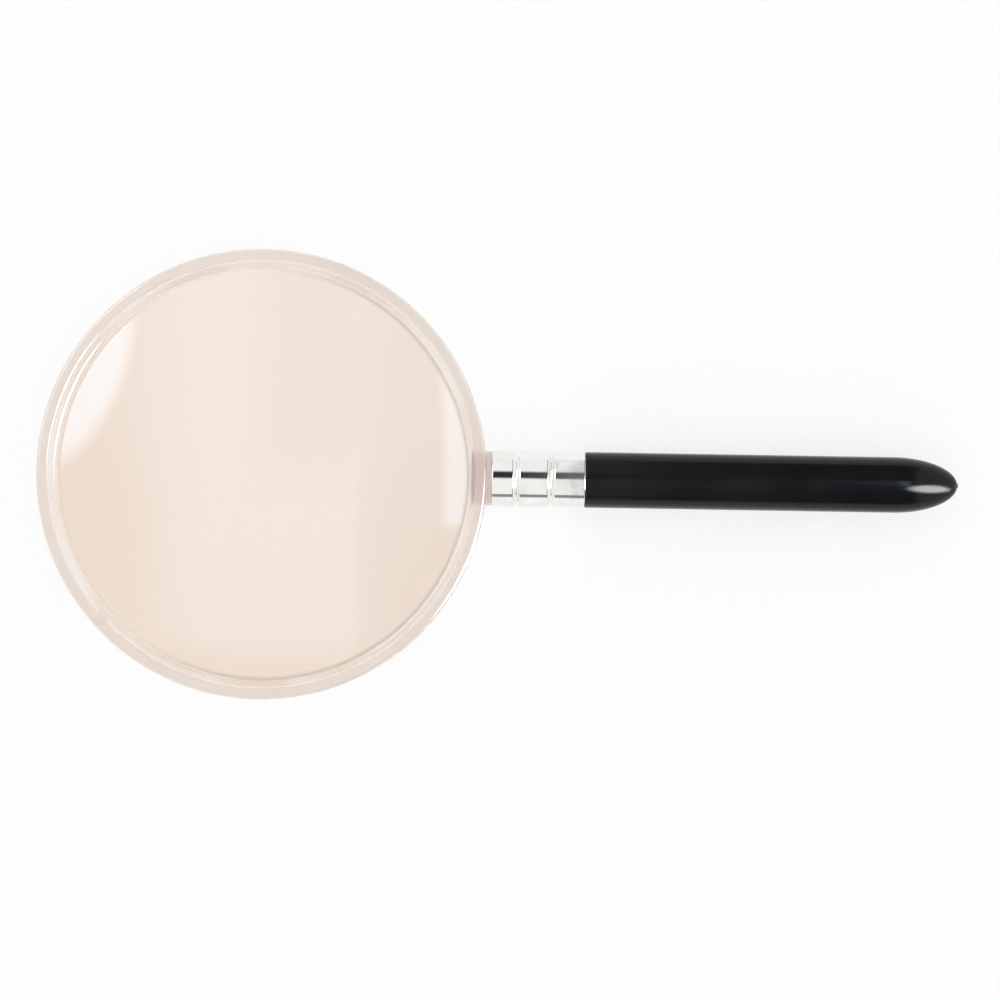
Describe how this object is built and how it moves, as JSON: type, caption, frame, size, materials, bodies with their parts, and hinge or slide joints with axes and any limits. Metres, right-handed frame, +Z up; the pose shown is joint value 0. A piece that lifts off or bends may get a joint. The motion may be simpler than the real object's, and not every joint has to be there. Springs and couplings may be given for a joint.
{
  "type": "magnifying glass",
  "caption": "Round hand magnifier with a clear lens in a clear rim, a grooved bright ferrule and a slim black handle with a rounded nose.",
  "frame": {"origin": "middle of the footprint, on the surface that the magnifier lies on", "axes": "+X along the handle towards its nose, +Z up along the lens axis, towards the side with the retaining ring"},
  "size_m": [0.1568, 0.0762, 0.0095],
  "materials": {
    "clear_lens": "polished clear acrylic",
    "clear_rim": "clear polystyrene, as moulded",
    "chrome": "bright plated",
    "black": "glossy black polystyrene"
  },
  "bodies": {
    "root": {"lens": "clear_lens", "rim_frame": "clear_rim", "retaining_ring": "clear_rim", "ferrule": "chrome", "handle": "black"}
  },
  "joints": []
}
